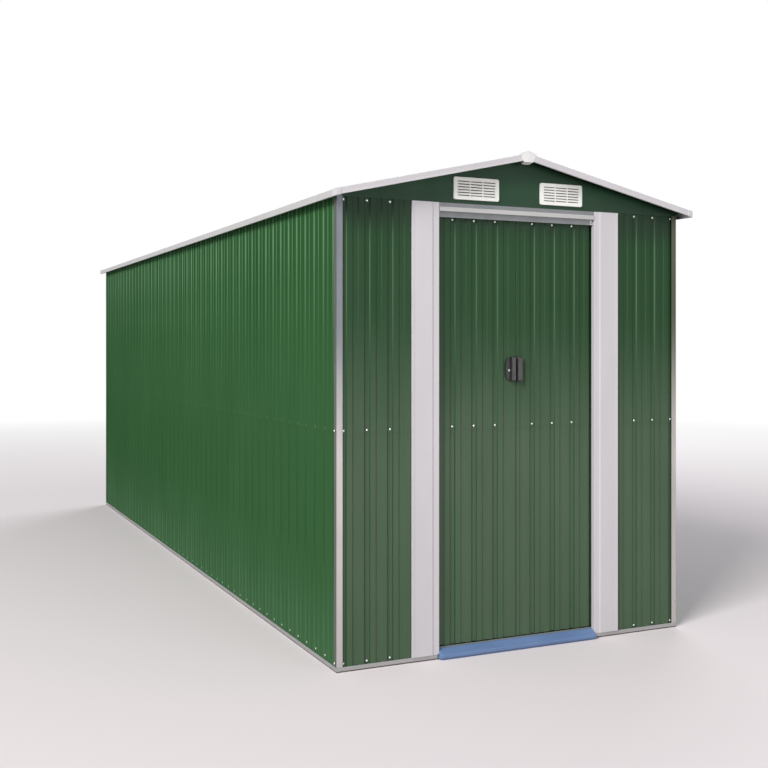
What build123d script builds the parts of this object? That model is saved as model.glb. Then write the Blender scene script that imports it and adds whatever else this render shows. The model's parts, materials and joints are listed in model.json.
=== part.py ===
from build123d import *
import math
import os

# Gable-roofed steel garden shed with two sliding doors. Millimetres, +Z up,
# front towards -Y, origin on the ground under the middle of the roof.

os.makedirs("parts", exist_ok=True)

# Driving sizes of the building
wall_width = 1830.0
wall_depth = 5390.0
wall_top = 2047.0
lap_height = 1037.0
lap_half = 15.0
clear = 0.3

# Ribbed sheet: flats with trapezoid grooves, by turns deep and shallow
sheet = 1.0
groove_depth = 7.0
shallow_depth = 3.5
groove_mouth = 30.0
groove_floor = 21.0
side_first_groove = 36.5
side_groove_count = 94
front_first_groove = 36.0
right_panel_first_groove = 32.5
front_pitch = 55.3
back_groove_count = 33
left_leaf_deep_groove = 105.0
right_leaf_deep_groove = 86.5
leaf_pitch = 55.8

# Base rail: a channel that the wall sheets stand in
rail_gauge = 1.5
rail_lip = 23.0
rail_leg = 45.0

# Corner posts: angles outside the sheets
post_leg = 29.0
post_side_leg = 26.0
post_gauge = 1.5
post_rise = 3.0

# Doorway: jambs, header, tracks and threshold
jamb_outer = 359.0
jamb_inner = 496.0
jamb_step = 469.0
jamb_proud = 6.0
jamb_strip_proud = 2.0
jamb_return = 20.5
jamb_drop = 1.0
panel_under_jamb = 23.0
header_bead_proud = 5.0
header_bead_drop = 18.0
header_bead_height = 22.0
header_bead_slope = 3.0
track_drop = 65.0
track_flange_drop = 57.0
track_flange_edge = 44.0
track_back = 62.0
sill_back = 57.5
sill_lip = 50.0
sill_back_lip = 30.0
threshold_height = 46.5
threshold_nose = 27.0
threshold_nose_height = 24.0
threshold_foot = 16.0

# Door leaves
door_face = 26.0
leaf_behind_jamb = 21.0
leaf_gap = 5.0
door_bottom = 55.5
door_drop = 49.0
brace_margin = 6.0
brace_depth = 15.0
brace_height = 36.0
bottom_brace_level = 60.0
top_brace_drop = 98.0
hanger_inset = 90.0
hanger_width = 50.0
hanger_gauge = 2.0
hanger_drop = 37.0
roller_radius = 11.0
roller_width = 9.0
roller_inset = 2.0
axle_radius = 4.0
shoe_width = 60.0
shoe_thickness = 4.0
shoe_bottom = 8.0
shoe_top = 88.0

# Handles beside the meeting line of the leaves
handle_level = 1295.0
handle_height = 116.0
handle_plate = 4.0
handle_plate_slant = 22.0
handle_grip_depth = 21.0
handle_grip_margin = 3.0
handle_grip_round = 12.0
left_plate_reach = 60.0
left_grip_near = 12.0
left_grip_far = 26.0
right_grip_near = 6.0
right_grip_far = 26.0
right_plate_reach = 30.0

# Rails inside the walls
inner_rail_depth = 25.0
inner_rail_height = 40.0
inner_rail_gauge = 1.2
top_rail_height = 35.0

# Roof
roof_slope = 0.2256
eave_lift = 20.0
verge_overhang = 80.0
eave_overhang = 33.5
trim_gauge = 1.0
trim_height = 30.0
trim_flange = 25.0
trim_lip = 8.0
roof_grooves = 98
roof_pitch = 56.9
roof_sheets = 7
ridge_gap = 8.0
ridge_cap_half = 90.0
beam_width = 40.0
beam_height = 40.0
beam_gauge = 1.5
purlin_place = 480.0
gable_flange = 58.0

# Plastic caps and vents
cap_wall = 1.7
corner_cap_length = 45.0
corner_cap_drop = 35.0
end_cap_thickness = 3.0
end_cap_hood = 50.0
end_cap_rise = 14.0
end_cap_height = 66.0
end_cap_shoulder = 44.0
end_cap_shoulder_drop = 14.0
end_cap_cheek = 37.0
end_cap_cheek_drop = 34.0
end_cap_chin = 24.0
end_cap_chin_gap = 3.0
end_cap_lean = 28.0
vent_width = 236.0
vent_height = 102.0
vent_lift = 17.0
vent_place = 229.0
vent_thickness = 8.0
vent_corner = 9.0
vent_slot_depth = 3.0
vent_slot_width = 55.0
vent_slot_height = 6.5
vent_rows = 6
vent_row_pitch = 12.7
vent_columns = 3
vent_column_pitch = 65.5

# Sizes that follow from the ones above
sheet_depth = groove_depth + sheet
lap_step = sheet + clear
upper_skin = post_gauge + clear
lower_skin = upper_skin + lap_step
skin_back = lower_skin + sheet_depth
rail_depth = skin_back + clear + rail_gauge
half_width = wall_width / 2
half_depth = wall_depth / 2
post_top = wall_top + post_rise
jamb_top = wall_top - jamb_drop
header_bead_top = wall_top - header_bead_drop
header_bead_bottom = header_bead_top - header_bead_height
track_bottom = wall_top - track_drop
track_flange_level = wall_top - track_flange_drop
door_top = wall_top - door_drop
top_brace_level = wall_top - top_brace_drop
hanger_top = wall_top - hanger_drop
top_rail_bottom = wall_top - top_rail_height
vent_bottom = wall_top + vent_lift
leaf_outer = half_width - jamb_inner + leaf_behind_jamb
side_pitch = (wall_depth - 2 * side_first_groove) / (side_groove_count - 1)
back_pitch = (wall_width - 2 * front_first_groove) / (back_groove_count - 1)
sill_front = jamb_return + clear
roof_angle = math.degrees(math.atan(roof_slope))
roof_half = half_width + eave_overhang
roof_front = half_depth + verge_overhang
verge_ridge = wall_top + eave_lift + roof_half * roof_slope
end_cap_top = verge_ridge + end_cap_rise
trim_drop = trim_gauge / math.cos(math.radians(roof_angle))
roof_skin = trim_drop + clear
roof_under = roof_skin + (sheet_depth + lap_step) / math.cos(math.radians(roof_angle)) + clear


def ridge_line(x, drop=0.0):
    # Height of the trims' top line at a distance from the ridge
    return verge_ridge - abs(x) * roof_slope - drop


def wall_frame(side):
    # Local x runs along the wall, y goes inwards and z is up
    corner = {
        "front": ((-half_width, -half_depth), (1, 0, 0)),
        "right": ((half_width, -half_depth), (0, 1, 0)),
        "back": ((half_width, half_depth), (-1, 0, 0)),
        "left": ((-half_width, half_depth), (0, -1, 0)),
    }
    place, along = corner[side]
    return Plane(origin=(place[0], place[1], 0), x_dir=along, z_dir=(0, 0, 1)).location


def on_wall(side, solid):
    return wall_frame(side) * solid


def filled(points):
    return make_face(Polyline(*points, close=True))


def folded(points, gauge):
    # Section of a bent sheet: the polyline and its offset to the left
    normals = []
    for (ax, ay), (bx, by) in zip(points, points[1:]):
        size = math.hypot(bx - ax, by - ay)
        normals.append((-(by - ay) / size, (bx - ax) / size))
    inner = []
    for index, (px, py) in enumerate(points):
        before = normals[max(index - 1, 0)]
        after = normals[min(index, len(normals) - 1)]
        scale = gauge / (1 + before[0] * after[0] + before[1] * after[1])
        inner.append((px + (before[0] + after[0]) * scale, py + (before[1] + after[1]) * scale))
    return filled(list(points) + inner[::-1])


def along_wall(face, start, end):
    # A section in inward and height coordinates, swept along the wall
    return Pos(start, 0, 0) * extrude(Plane.YZ * face, amount=end - start, dir=(1, 0, 0))


def upright(face, bottom, top):
    # A plan section in the wall's own frame, raised between two heights
    return Pos(0, 0, bottom) * extrude(face, amount=top - bottom)


def ribbed(start, end, skin, bottom, top, deep_place, pitch):
    # Grooved sheet between two places along a wall, its face at the skin depth,
    # with a deep groove at the given place and the others counted from there
    points = [(start, skin)]
    half_mouth = groove_mouth / 2
    half_floor = groove_floor / 2
    first = math.ceil((start + half_mouth + sheet - deep_place) / pitch)
    last = math.floor((end - half_mouth - sheet - deep_place) / pitch)
    for index in range(first, last + 1):
        centre = deep_place + index * pitch
        depth = shallow_depth if index % 2 else groove_depth
        points.append((centre - half_mouth, skin))
        points.append((centre - half_floor, skin + depth))
        points.append((centre + half_floor, skin + depth))
        points.append((centre + half_mouth, skin))
    points.append((end, skin))
    back = [(x, y + sheet) for x, y in reversed(points)]
    return upright(filled(points + back), bottom, top)


def two_tiers(start, end, bottom, top, deep_place, pitch, skin=upper_skin):
    # The upper sheet laps outside the lower one at mid height
    lower = ribbed(start, end, skin + lap_step, bottom, lap_height + lap_half, deep_place, pitch)
    upper = ribbed(start, end, skin, lap_height - lap_half, top, deep_place, pitch)
    return Compound(children=[lower, upper])


def mirrored(shape):
    return mirror(shape, about=Plane.YZ)


def turned(shape):
    # The same piece at the other end of the building
    return Rot(0, 0, 180) * shape


def together(solids):
    return Compound(children=list(solids))


def save(name, shape):
    solids = shape.solids()
    piece = solids[0] if len(solids) == 1 else together(solids)
    export_step(piece, "parts/" + name + ".step")


def base_rail(length, mitre_start, mitre_end):
    # Channel with a low outer lip and a taller inner leg, mitred at corners
    outline = [(0, rail_lip), (0, 0), (rail_depth, 0), (rail_depth, rail_leg)]
    rail = along_wall(folded(outline, rail_gauge), 0, length)
    reach = rail_depth + 1
    low = clear / 2
    plan = [
        (low if mitre_start else 0, 0),
        (length - low if mitre_end else length, 0),
        (length - low - reach if mitre_end else length, reach),
        (low + reach if mitre_start else 0, reach),
    ]
    keep = upright(filled(plan), -1, rail_leg + 1)
    return rail & keep


def make_base_rails():
    length = jamb_inner - trim_gauge - clear
    front = on_wall("front", base_rail(length, True, False))
    save("base_rail_front_left", front)
    save("base_rail_front_right", mirrored(front))
    side = on_wall("left", base_rail(wall_depth, True, True))
    save("base_rail_left", side)
    save("base_rail_right", mirrored(side))
    save("base_rail_back", on_wall("back", base_rail(wall_width, True, True)))


def make_corner_posts():
    plan = filled([
        (0, 0), (post_leg, 0), (post_leg, post_gauge),
        (post_gauge, post_gauge), (post_gauge, post_side_leg), (0, post_side_leg),
    ])
    front_left = on_wall("front", upright(plan, rail_lip + clear, post_top))
    save("corner_post_front_left", front_left)
    save("corner_post_front_right", mirrored(front_left))
    save("corner_post_back_right", turned(front_left))
    save("corner_post_back_left", mirrored(turned(front_left)))


def make_walls():
    bottom = rail_gauge + clear
    front_groove = wall_depth - side_first_groove
    side = two_tiers(upper_skin, wall_depth - upper_skin, bottom, wall_top, front_groove, side_pitch)
    save("left_wall", on_wall("left", side))
    save("right_wall", mirrored(on_wall("left", side)))
    end = skin_back + clear
    back = two_tiers(end, wall_width - end, bottom, wall_top, front_first_groove, back_pitch)
    save("back_wall", on_wall("back", back))
    panel = two_tiers(end, jamb_outer + panel_under_jamb, bottom, wall_top, front_first_groove, front_pitch)
    save("front_wall_left", on_wall("front", panel))
    panel = two_tiers(end, jamb_outer + panel_under_jamb, bottom, wall_top, right_panel_first_groove, front_pitch)
    save("front_wall_right", mirrored(on_wall("front", panel)))


def make_gables():
    # Plain sheet under the roof with a flange that sits on the rail below
    reach = half_width - upper_skin
    foot = wall_top + clear
    outline = [
        (-reach, foot), (reach, foot), (reach, ridge_line(reach, roof_under)),
        (0, ridge_line(0, roof_under)), (-reach, ridge_line(reach, roof_under)),
    ]
    face = -half_depth + upper_skin
    plate = Pos(0, face + sheet, 0) * extrude(Plane.XZ * filled(outline), amount=sheet)
    half_flange = half_width - rail_depth - inner_rail_depth
    flange = Pos(0, face + gable_flange / 2, foot + sheet / 2) * Box(2 * half_flange, gable_flange, sheet)
    gable = plate + flange
    save("front_gable", gable)
    save("back_gable", turned(gable))


def make_vents():
    # Moulded vent plate with three columns of shallow louvre slots
    plate = Rectangle(vent_width, vent_height)
    plate = fillet(plate.vertices(), vent_corner)
    body = extrude(plate, amount=vent_thickness)
    slots = []
    for column in range(vent_columns):
        for row in range(vent_rows):
            x = (column - (vent_columns - 1) / 2) * vent_column_pitch
            z = (row - (vent_rows - 1) / 2) * vent_row_pitch
            slots.append(Pos(x, z, vent_thickness) * Box(vent_slot_width, vent_slot_height, 2 * vent_slot_depth))
    body = body - together(slots)
    stand = Plane(origin=(0, 0, 0), x_dir=(1, 0, 0), z_dir=(0, -1, 0)).location * body
    level = vent_bottom + vent_height / 2
    face = -half_depth + upper_skin - clear
    left = Pos(-vent_place, face, level) * stand
    right = Pos(vent_place, face, level) * stand
    save("front_vents", together([left, right]))
    save("back_vents", together([turned(left), turned(right)]))


def make_jambs():
    plan = [
        (jamb_outer, upper_skin - clear), (jamb_outer, -jamb_proud), (jamb_step, -jamb_proud),
        (jamb_step, -jamb_strip_proud), (jamb_inner, -jamb_strip_proud), (jamb_inner, jamb_return),
    ]
    jamb = upright(folded(plan, trim_gauge), rail_lip + clear, jamb_top)
    notch = Pos(jamb_inner, skin_back + jamb_return / 2, track_bottom - clear + post_top / 2) * Box(
        jamb_inner - jamb_step, jamb_return, post_top)
    left = on_wall("front", jamb - notch)
    save("left_jamb", left)
    save("right_jamb", mirrored(left))


def make_header():
    back = skin_back - clear
    outline = [
        (back, header_bead_bottom), (-header_bead_proud, header_bead_bottom),
        (-header_bead_proud, header_bead_top - header_bead_slope),
        (0, header_bead_top), (0, wall_top - clear), (back, wall_top - clear),
    ]
    start = jamb_inner + clear
    face = folded(outline[::-1], trim_gauge)
    save("door_header", on_wall("front", along_wall(face, start, wall_width - start)))


def make_tracks():
    front = skin_back + clear
    outline = [
        (front, track_bottom), (front, wall_top), (track_back, wall_top),
        (track_back, track_flange_level), (track_flange_edge, track_flange_level),
    ]
    end = skin_back + clear
    face = folded(outline[::-1], rail_gauge)
    save("door_track", on_wall("front", along_wall(face, end, wall_width - end)))
    sill = [(sill_front, sill_lip), (sill_front, 0), (sill_back, 0), (sill_back, sill_back_lip)]
    end = rail_depth + clear
    face = folded(sill, rail_gauge)
    save("sill_track", on_wall("front", along_wall(face, end, wall_width - end)))


def make_threshold():
    # Bent plate that covers the front of the sill track
    back = sill_front - clear
    outline = [
        (back, 0), (back, threshold_height), (-threshold_nose, threshold_nose_height),
        (-threshold_nose, threshold_nose_height / 2), (-threshold_foot, 0),
    ]
    start = jamb_inner + clear
    face = folded(outline, rail_gauge)
    save("threshold", on_wall("front", along_wall(face, start, wall_width - start)))


def leaf_parts(start, end, deep_place):
    # One door leaf in the front wall's frame, with its bracing and runners
    skin = two_tiers(start, end, door_bottom, door_top, deep_place, leaf_pitch, door_face)
    upper_web = door_face + sheet_depth + clear
    web = upper_web + lap_step
    left = start + brace_margin
    right = end - brace_margin
    tip = web + brace_depth
    low = lap_height - brace_height / 2
    bottom = [(tip, bottom_brace_level + brace_height), (web, bottom_brace_level + brace_height),
              (web, bottom_brace_level)]
    middle = [(tip, low + brace_height), (web, low + brace_height), (web, low), (tip, low)]
    top = [(upper_web, top_brace_level + brace_height), (upper_web, top_brace_level), (tip, top_brace_level)]
    braces = [along_wall(folded(line, sheet), left, right) for line in (bottom, middle, top)]
    hanger_face = upper_web + sheet + clear
    shoe_face = web + sheet + clear
    runners = []
    for centre in (start + hanger_inset, end - hanger_inset):
        plate_low = top_brace_level + sheet + clear
        plate = Pos(centre, hanger_face + hanger_gauge / 2, (plate_low + hanger_top) / 2) * Box(
            hanger_width, hanger_gauge, hanger_top - plate_low)
        level = track_flange_level + rail_gauge + clear + roller_radius
        wheel_place = track_flange_edge + roller_inset + roller_width / 2
        axle_start = hanger_face + hanger_gauge / 2
        turn = Plane(origin=(0, 0, 0), x_dir=(1, 0, 0), z_dir=(0, 1, 0)).location
        wheel = turn * Cylinder(roller_radius, roller_width)
        axle = turn * Cylinder(axle_radius, wheel_place - axle_start)
        plate = plate + Pos(centre, wheel_place, level) * wheel
        runners.append(plate + Pos(centre, (axle_start + wheel_place) / 2, level) * axle)
        shoe = Pos(centre, shoe_face + shoe_thickness / 2, (shoe_bottom + shoe_top) / 2) * Box(
            shoe_width, shoe_thickness, shoe_top - shoe_bottom)
        runners.append(shoe)
    return skin, together(braces), together(runners)


def handle(near, far, reach):
    # Grip rounded at its ends, on a plate with a half round outer side
    face = door_face - clear
    low = handle_level - handle_height / 2
    high = low + handle_height
    grip = Pos((near + far) / 2, face - handle_grip_depth / 2, handle_level) * Box(
        far - near, handle_grip_depth, handle_height - 2 * handle_grip_margin)
    grip = fillet(grip.edges().filter_by(Axis.X).group_by(Axis.Y)[0], handle_grip_round)
    outline = [(near, low), (far, low), (reach, low + handle_plate_slant),
               (reach, high - handle_plate_slant), (far, high), (near, high)]
    plate = Pos(0, face, 0) * extrude(Plane.XZ * filled(outline), amount=handle_plate)
    return Pos(0, -half_depth, 0) * (grip + plate)


def make_doors():
    middle = half_width
    left_start = middle - leaf_outer
    left_end = middle - leaf_gap / 2
    right_start = middle + leaf_gap / 2
    right_end = middle + leaf_outer
    leaves = {
        "left": leaf_parts(left_start, left_end, left_start + left_leaf_deep_groove),
        "right": leaf_parts(right_start, right_end, right_start + right_leaf_deep_groove),
    }
    for side, (skin, braces, runners) in leaves.items():
        save(side + "_door", on_wall("front", skin))
        save(side + "_door_braces", on_wall("front", braces))
        save(side + "_door_runners", on_wall("front", runners))
    save("left_door_handle", mirrored(handle(left_grip_near, left_grip_far, left_plate_reach)))
    save("right_door_handle", handle(right_grip_near, right_grip_far, right_plate_reach))


def mid_rail_section():
    web = skin_back + clear
    tip = web + inner_rail_depth
    half = inner_rail_height / 2
    return folded([(tip, lap_height + half), (web, lap_height + half),
                   (web, lap_height - half), (tip, lap_height - half)], inner_rail_gauge)


def top_rail_section(level_top):
    web = skin_back + clear
    tip = web + inner_rail_depth
    if level_top:
        top_web = wall_top
        top_tip = wall_top
    else:
        top_web = ridge_line(half_width - web, roof_under)
        top_tip = ridge_line(half_width - tip, roof_under)
    return folded([(tip, top_tip), (web, top_web), (web, top_rail_bottom), (tip, top_rail_bottom)],
                  inner_rail_gauge)


def make_inner_rails():
    ends = skin_back + clear
    back_end = ends + inner_rail_depth + clear
    track_end = track_back + clear
    side = [
        along_wall(mid_rail_section(), ends, wall_depth - ends),
        along_wall(top_rail_section(False), track_end, wall_depth - ends),
    ]
    right = on_wall("right", together(side))
    save("right_wall_rails", right)
    save("left_wall_rails", mirrored(right))
    back = [
        along_wall(mid_rail_section(), back_end, wall_width - back_end),
        along_wall(top_rail_section(True), back_end, wall_width - back_end),
    ]
    save("back_wall_rails", on_wall("back", together(back)))


def make_roof_beams():
    end = half_depth - upper_skin - sheet - clear
    plane = Plane(origin=(0, end, 0), x_dir=(1, 0, 0), z_dir=(0, -1, 0)).location
    half = beam_width / 2
    top = ridge_line(half, roof_under)
    outline = [(half, top - beam_height), (half, top), (-half, top), (-half, top - beam_height)]
    save("ridge_beam", plane * extrude(folded(outline, beam_gauge), amount=2 * end))
    near = purlin_place - half
    far = purlin_place + half
    outline = [(far, ridge_line(far, roof_under) - beam_height), (far, ridge_line(far, roof_under)),
               (near, ridge_line(near, roof_under)), (near, ridge_line(near, roof_under) - beam_height)]
    right = plane * extrude(folded(outline, beam_gauge), amount=2 * end)
    save("right_purlin", right)
    save("left_purlin", mirrored(right))


def make_roof():
    # Lapped ribbed sheets with their grooves running down the slope
    eave = roof_half - trim_gauge - clear
    slope_length = (eave - ridge_gap) / math.cos(math.radians(roof_angle))
    first = roof_front - (roof_grooves - 1) * roof_pitch / 2
    per_sheet = roof_grooves // roof_sheets
    origin = (eave, -roof_front, ridge_line(eave, roof_skin))
    up = (-math.cos(math.radians(roof_angle)), 0, math.sin(math.radians(roof_angle)))
    lie = Plane(origin=origin, x_dir=(0, 1, 0), z_dir=up).location
    sheets = []
    start = trim_gauge + clear
    for index in range(roof_sheets):
        begin = start if index == 0 else first + (index * per_sheet - 0.5) * roof_pitch
        last = index == roof_sheets - 1
        end = 2 * roof_front - start if last else first + ((index + 1) * per_sheet + 0.5) * roof_pitch
        skin = lap_step if index % 2 else 0.0
        sheets.append(ribbed(begin, end, skin, 0, slope_length, first, roof_pitch))
    right = lie * together(sheets)
    save("roof_right", right)
    save("roof_left", mirrored(right))


def slope_strip(near, far, top_drop, bottom_drop, front, back):
    # A piece that follows the right slope between two distances from the ridge
    outline = [
        (near, ridge_line(near, bottom_drop)), (far, ridge_line(far, bottom_drop)),
        (far, ridge_line(far, top_drop)), (near, ridge_line(near, top_drop)),
    ]
    return Pos(0, back, 0) * extrude(Plane.XZ * filled(outline), amount=back - front)


def make_trims():
    # Eave trim folds over the sheet ends, verge trim over the gable overhang
    inner = roof_half - trim_flange
    outline = [
        (inner, ridge_line(inner)), (roof_half, ridge_line(roof_half)),
        (roof_half, ridge_line(roof_half, trim_height)), (roof_half - trim_lip, ridge_line(roof_half, trim_height)),
    ]
    end = roof_front - trim_flange - clear
    plane = Plane(origin=(0, end, 0), x_dir=(1, 0, 0), z_dir=(0, -1, 0)).location
    right = plane * extrude(folded(outline[::-1], trim_gauge), amount=2 * end)
    save("right_eave_trim", right)
    save("left_eave_trim", mirrored(right))
    front = -roof_front
    verge = slope_strip(clear, roof_half, 0, trim_height, front, front + trim_gauge)
    verge = verge + slope_strip(clear, roof_half, 0, trim_drop, front, front + trim_flange)
    verge = verge + slope_strip(clear, roof_half, trim_height - trim_gauge, trim_height, front, front + trim_lip)
    pair = together([mirrored(verge), verge])
    save("front_verge_trim", pair)
    save("back_verge_trim", turned(pair))


def make_ridge_cap():
    # Bent plate over the joint of the two slopes
    outline = [
        (-ridge_cap_half, ridge_line(ridge_cap_half, -clear)), (0, ridge_line(0, -clear)),
        (ridge_cap_half, ridge_line(ridge_cap_half, -clear)),
    ]
    plane = Plane(origin=(0, roof_front, 0), x_dir=(1, 0, 0), z_dir=(0, -1, 0)).location
    save("ridge_cap", plane * extrude(folded(outline, trim_gauge), amount=2 * roof_front))


def make_end_caps():
    # Faceted plastic cap over the front end of the ridge: a gabled face, a hood
    # behind it and a chin that leans back below the verge trims
    front = -roof_front - clear
    face = front - end_cap_thickness
    shoulder_level = end_cap_top - end_cap_shoulder_drop
    chin_level = ridge_line(end_cap_chin, trim_height + end_cap_chin_gap)
    right = [(end_cap_shoulder, shoulder_level), (end_cap_cheek, end_cap_top - end_cap_cheek_drop),
             (end_cap_chin, chin_level)]
    outline = [(0, end_cap_top)] + right + [(-x, z) for x, z in reversed(right)]
    plate = Pos(0, front, 0) * extrude(Plane.XZ * filled(outline), amount=end_cap_thickness)
    over = -clear - trim_drop - clear
    half = [(end_cap_shoulder, shoulder_level), (end_cap_shoulder, ridge_line(end_cap_shoulder, over))]
    crown = [(0, end_cap_top)] + half + [(0, ridge_line(0, over))] + [(-x, z) for x, z in reversed(half)]
    hood = Pos(0, front + end_cap_hood, 0) * extrude(Plane.XZ * filled(crown), amount=end_cap_hood)
    section = [(face, chin_level), (face + end_cap_lean, chin_level),
               (face + end_cap_lean, end_cap_top - end_cap_height)]
    chin = Pos(-end_cap_chin, 0, 0) * extrude(Plane.YZ * filled(section), amount=2 * end_cap_chin, dir=(1, 0, 0))
    cap = plate + hood + chin
    save("ridge_end_caps", together([cap, turned(cap)]))


def make_corner_caps():
    # Plastic cap over the corner where the verge and eave trims meet
    far = roof_half + clear + cap_wall
    near = roof_half - corner_cap_length
    front = -roof_front - clear - cap_wall
    back = -roof_front + corner_cap_length
    over = -clear
    outer = slope_strip(near, far, over - cap_wall, corner_cap_drop, front, back)
    inner_far = roof_half + clear
    inner = slope_strip(near - 1, inner_far, over, corner_cap_drop + 1, -roof_front - clear, back + 1)
    cap = outer - inner
    caps = [cap, mirrored(cap), turned(cap), mirrored(turned(cap))]
    save("eave_corner_caps", together(caps))


make_base_rails()
make_corner_posts()
make_walls()
make_gables()
make_vents()
make_jambs()
make_header()
make_tracks()
make_threshold()
make_doors()
make_inner_rails()
make_roof_beams()
make_roof()
make_trims()
make_ridge_cap()
make_end_caps()
make_corner_caps()
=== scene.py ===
import json
import math
import random
import bmesh
import bpy
from mathutils import Matrix, Vector


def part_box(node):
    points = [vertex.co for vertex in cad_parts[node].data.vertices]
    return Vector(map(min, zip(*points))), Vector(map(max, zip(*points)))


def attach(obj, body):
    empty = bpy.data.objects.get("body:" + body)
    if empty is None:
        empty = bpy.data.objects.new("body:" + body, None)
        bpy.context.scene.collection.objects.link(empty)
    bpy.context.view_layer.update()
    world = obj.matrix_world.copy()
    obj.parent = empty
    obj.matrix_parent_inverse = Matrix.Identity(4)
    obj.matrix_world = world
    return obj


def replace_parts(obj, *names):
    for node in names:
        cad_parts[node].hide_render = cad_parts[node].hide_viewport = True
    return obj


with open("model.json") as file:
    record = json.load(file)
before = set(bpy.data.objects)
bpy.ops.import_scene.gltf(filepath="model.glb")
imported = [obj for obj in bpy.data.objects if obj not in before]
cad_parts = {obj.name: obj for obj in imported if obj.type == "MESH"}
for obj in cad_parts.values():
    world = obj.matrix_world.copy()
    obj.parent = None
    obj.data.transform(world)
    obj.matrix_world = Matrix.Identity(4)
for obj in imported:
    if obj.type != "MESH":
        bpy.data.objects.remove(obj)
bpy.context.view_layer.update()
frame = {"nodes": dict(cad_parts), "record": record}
nodes = frame["nodes"]
rng = random.Random(7)

postLow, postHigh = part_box("corner_post_front_left")
vergeLow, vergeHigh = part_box("front_verge_trim")
shed = {
    "halfWidth": -postLow.x,
    "halfDepth": -postLow.y,
    "postLow": postLow.z,
    "postTop": postHigh.z,
    "wallTop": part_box("left_wall")[1].z,
    "wallLow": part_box("left_wall")[0].z,
    "eaveReach": -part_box("left_eave_trim")[0].x,
    "vergeReach": -vergeLow.y,
    "ridgeTop": vergeHigh.z,
    "slope": 0.2256,
    "lapLevel": 1.037,
    "lapHalf": 0.015,
    "clear": 0.0003,
    "upperSkin": 0.0018,
    "lapStep": 0.0013,
    "sheetBack": 0.0111,
}
ribs = {"gauge": 0.001, "mouth": 0.030, "floor": 0.021, "deep": 0.007, "shallow": 0.0035,
        "bend": 0.0028, "bendSteps": 3}


# Shader helpers
noiseRange = (0.3, 0.7)  # most of a noise lies between these


def newMaterial(name):
    material = bpy.data.materials.new(name)
    material.use_nodes = True
    tree = material.node_tree
    return material, tree, tree.nodes["Principled BSDF"]


def feed(tree, node, inputs):  # links from other nodes, or fixed values
    for key, value in inputs.items():
        if isinstance(value, bpy.types.NodeSocket):
            tree.links.new(value, node.inputs[key])
        else:
            node.inputs[key].default_value = value


def addNode(tree, kind, inputs=None, **values):
    node = tree.nodes.new("ShaderNode" + kind)
    for key, value in values.items():
        setattr(node, key, value)
    feed(tree, node, inputs or {})
    return node


def combine(tree, operation, first, second):
    return addNode(tree, "Math", {0: first, 1: second}, operation=operation).outputs[0]


def mixed(tree, share, first, second):
    node = addNode(tree, "Mix", data_type="RGBA")
    places = {socket.identifier: index for index, socket in enumerate(node.inputs)}
    feed(tree, node, {places["Factor_Float"]: share, places["A_Color"]: first, places["B_Color"]: second})
    return {socket.identifier: socket for socket in node.outputs}["Result_Color"]


def blend(tree, share, first, second, output):  # two shaders into the named output
    node = addNode(tree, "MixShader", {0: share, 1: first.outputs[0], 2: second.outputs[0]})
    tree.links.new(node.outputs[0], tree.nodes[output].inputs["Surface"])


def objectPoint(tree):
    return addNode(tree, "TexCoord").outputs["Object"]


def placed(tree, stretch):  # object coordinates, stretched for streaks or grain
    inputs = {"Vector": objectPoint(tree), "Scale": stretch}
    return addNode(tree, "Mapping", inputs).outputs["Vector"]


def noise(tree, grain):  # a grain is its stretch, its scale and its detail
    stretch, scale, detail = grain
    inputs = {"Vector": placed(tree, stretch), "Scale": scale, "Detail": detail}
    return addNode(tree, "TexNoise", inputs).outputs["Fac"]


def ramp(tree, source, stops, easing="LINEAR"):
    node = addNode(tree, "ValToRGB", {"Fac": source})
    band = node.color_ramp
    band.interpolation = easing
    while len(band.elements) < len(stops):
        band.elements.new(0.5)
    for element, (place, color) in zip(band.elements, stops):
        element.position = place
        element.color = (*color, 1.0)
    return node.outputs["Color"]


def spread(tree, source, target, origin=noiseRange):
    inputs = dict(zip(("From Min", "From Max", "To Min", "To Max"), (*origin, *target)), Value=source)
    return addNode(tree, "MapRange", inputs).outputs["Result"]


def mottled(tree, grain, dark, light):
    return ramp(tree, noise(tree, grain), list(zip(noiseRange, (dark, light))))


def bump(tree, shader, grain, relief, before=None):  # a relief is its strength and its depth
    inputs = {"Height": noise(tree, grain), "Strength": relief[0], "Distance": relief[1]}
    if before is not None:
        inputs["Normal"] = before
    normal = addNode(tree, "Bump", inputs).outputs["Normal"]
    feed(tree, shader, {"Normal": normal})
    return normal


# Finishes
even = (1.0, 1.0, 1.0)
# Painted light, laid on by height in uneven patches: color is a painted reflection of the pale floor on the
# front sheets; fold is a painted highlight on the groove folds, and the floor's painted reflection on the
# side walls' flats; steel is a painted reflection of the floor on the galvanised steel
paintedLight = {"reach": 2.4, "color": (0.40, 0.47, 0.36), "fold": (0.30, 0.50, 0.33), "steel": (0.62, 0.57, 0.555),
        "patches": ((1.0, 1.0, 0.4), 5.0, 5.0), "uneven": (0.86, 1.12)}


def axisOf(tree, vector, axis):
    return addNode(tree, "SeparateXYZ", {0: vector}).outputs[axis]


def byHeight(tree, stops):  # an amount that changes with height, eased between its stops
    level = combine(tree, "DIVIDE", axisOf(tree, objectPoint(tree), "Z"), paintedLight["reach"])
    return ramp(tree, level, [(height / paintedLight["reach"], (amount,) * 3) for height, amount in stops], "EASE")


def foldShare(tree, axis, steep):  # 0 on a sheet's flats, near 1 on its steep folds along the wall
    normal = addNode(tree, "NewGeometry").outputs["Normal"]
    sizes = addNode(tree, "VectorMath", {0: normal}, operation="ABSOLUTE")
    return spread(tree, axisOf(tree, sizes.outputs["Vector"], axis), (0.0, 1.0), steep)


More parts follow.
